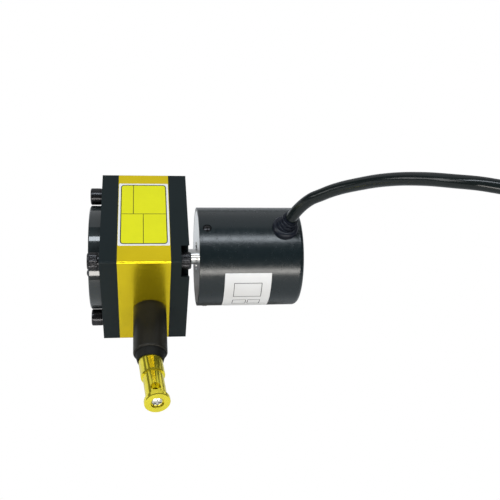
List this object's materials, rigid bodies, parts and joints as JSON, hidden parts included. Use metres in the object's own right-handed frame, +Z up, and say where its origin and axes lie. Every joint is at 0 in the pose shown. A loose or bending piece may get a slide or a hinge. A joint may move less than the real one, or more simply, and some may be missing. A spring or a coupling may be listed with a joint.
{
  "type": "draw wire encoder",
  "caption": "Draw wire encoder: a square drum body with a spring case, a wire nozzle with a brass end fitting, a round rotary encoder and its cable.",
  "frame": {"origin": "middle of the line between the two base mounting holes, in the underside of the yellow body", "axes": "+X along the drum shaft from the spring case to the encoder, -Y the way the wire leaves, +Z up out of the labelled top"},
  "size_m": [0.3055, 0.1186, 0.1336],
  "materials": {
    "yellow_anodised": "satin anodised",
    "black_anodised": "satin anodised",
    "bare_aluminium": "turned",
    "dark_screws": "blackened",
    "bright_steel": "ground",
    "brass": "turned",
    "black_rubber": "moulded",
    "cable_jacket": "extruded",
    "felt": "felt",
    "code_glass": "polished",
    "black_plastic": "moulded",
    "board": "laminate",
    "post_brass": "turned"
  },
  "bodies": {
    "housing": {"body_frame": "yellow_anodised", "spring_case": "black_anodised", "spring_lid": "black_anodised", "lid_screws": "dark_screws", "power_spring": "bright_steel", "spring_case_screws": "dark_screws", "spring_case_washers": "dark_screws", "encoder_plate": "black_anodised", "encoder_plate_screws": "dark_screws", "bearing_outer_left": "bright_steel", "bearing_outer_right": "bright_steel", "nozzle": "black_rubber", "wire_guide": "bright_steel", "dust_wiper": "felt", "encoder_flange": "bare_aluminium", "flange_pillars": "bright_steel", "flange_screws": "bright_steel", "encoder_cover": "black_anodised", "cover_screws": "dark_screws", "encoder_bearing_outer": "bright_steel", "read_head": "black_plastic", "board_posts": "post_brass", "sensor_board": "board", "board_parts": "black_plastic", "board_screws": "bright_steel", "cable_gland": "black_rubber", "cable_run": "cable_jacket", "cable_coil": "cable_jacket", "cable_end": "cable_jacket"},
    "drum_assembly": {"drum": "bare_aluminium", "drum_set_screws": "dark_screws", "wire_winding": "bright_steel", "drum_shaft": "bright_steel", "spring_arbor": "bright_steel", "bearing_inner_left": "bright_steel", "bearing_inner_right": "bright_steel", "bearing_balls_left": "bright_steel", "bearing_balls_right": "bright_steel", "encoder_bearing_inner": "bright_steel", "encoder_bearing_balls": "bright_steel", "encoder_rotor": "bright_steel", "rotor_set_screws": "dark_screws", "code_disc": "code_glass"},
    "wire": {"wire_lead": "bright_steel"},
    "fitting": {"end_fitting": "brass", "wire_ferrule": "bright_steel", "end_screw": "bright_steel"}
  },
  "joints": [
    {"name": "drum_spin", "type": "hinge", "parent": "housing", "child": "drum_assembly", "pos_m": [0, 0, 0.03], "axis": [-1, 0, 0], "range_deg": [0, 3600], "stiffness_Nm_per_rad": 0.00075, "springref_deg": -6130.65},
    {"name": "wire_pull", "type": "slide", "parent": "housing", "child": "wire", "axis": [0, -1, 0], "range_m": [0, 1.0005], "deforming": ["wire_lead"]},
    {"name": "fitting_swing", "type": "hinge", "parent": "wire", "child": "fitting", "pos_m": [0.0028, -0.0606, 0.024], "axis": [-0.9222, 0, 0.3866], "range_deg": [-30, 2]}
  ],
  "couplings": [
    {"joint": "wire_pull", "follows": "drum_spin", "m_per_rad": 0.01592}
  ]
}
